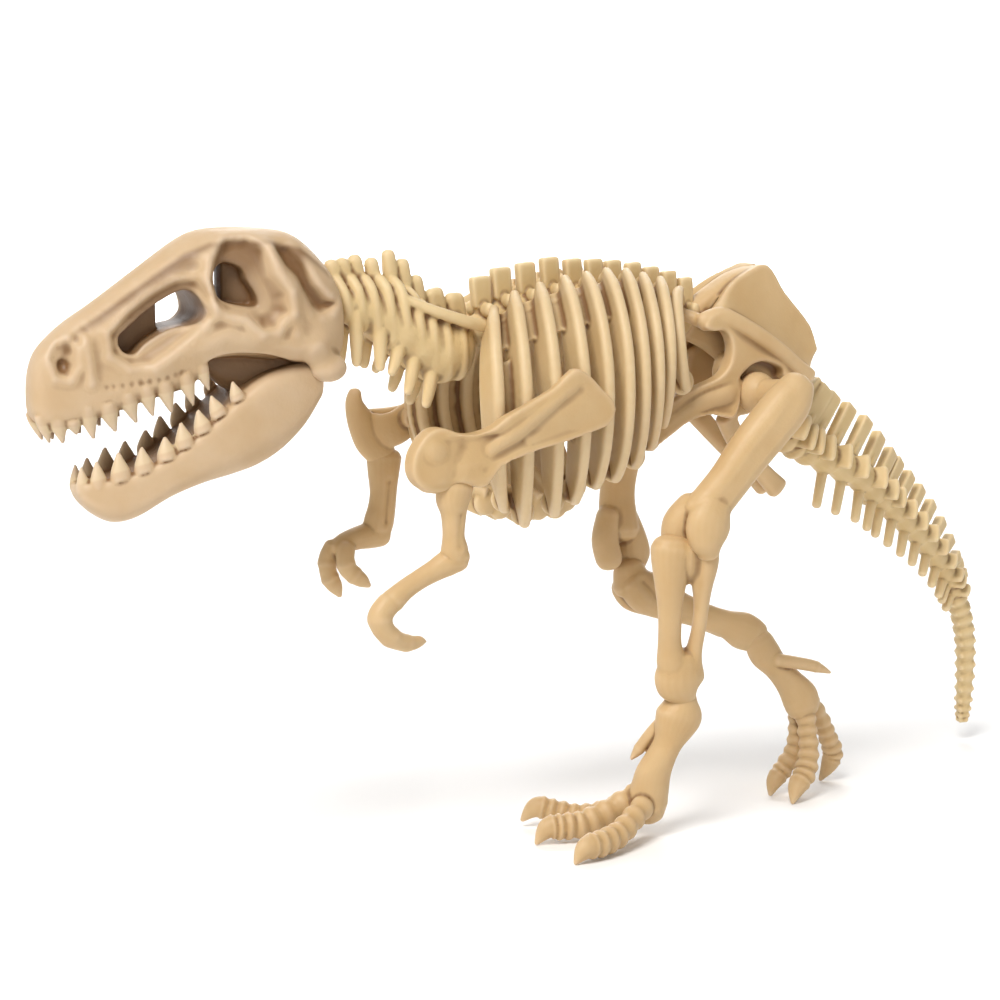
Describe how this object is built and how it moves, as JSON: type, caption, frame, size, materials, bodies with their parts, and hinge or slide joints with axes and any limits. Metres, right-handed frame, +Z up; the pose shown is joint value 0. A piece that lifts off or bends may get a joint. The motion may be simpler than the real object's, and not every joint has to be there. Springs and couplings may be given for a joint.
{
  "type": "toy dinosaur skeleton",
  "caption": "Small cream plastic toy skeleton of a large two-legged meat-eating dinosaur, walking with its mouth open and its tail hanging down behind it",
  "frame": {"origin": "Middle of the box around the whole model, on the floor that its feet stand on", "axes": "X runs from the snout back to the tail, so the animal faces -X; Y points out of the animal's right side; Z is up, off the floor"},
  "size_m": [0.3667, 0.0921, 0.191],
  "materials": {
    "bone_plastic": "satin"
  },
  "bodies": {
    "root": {"arm_left": "bone_plastic", "arm_right": "bone_plastic", "back": "bone_plastic", "femur_left": "bone_plastic", "femur_right": "bone_plastic", "foot_left": "bone_plastic", "foot_right": "bone_plastic", "jaw": "bone_plastic", "neck": "bone_plastic", "pelvis": "bone_plastic", "ribs_left": "bone_plastic", "ribs_right": "bone_plastic", "shin_left": "bone_plastic", "shin_right": "bone_plastic", "shoulder_left": "bone_plastic", "shoulder_right": "bone_plastic", "skull": "bone_plastic", "tail_base": "bone_plastic", "tail_middle": "bone_plastic", "tail_tip": "bone_plastic"}
  },
  "joints": []
}
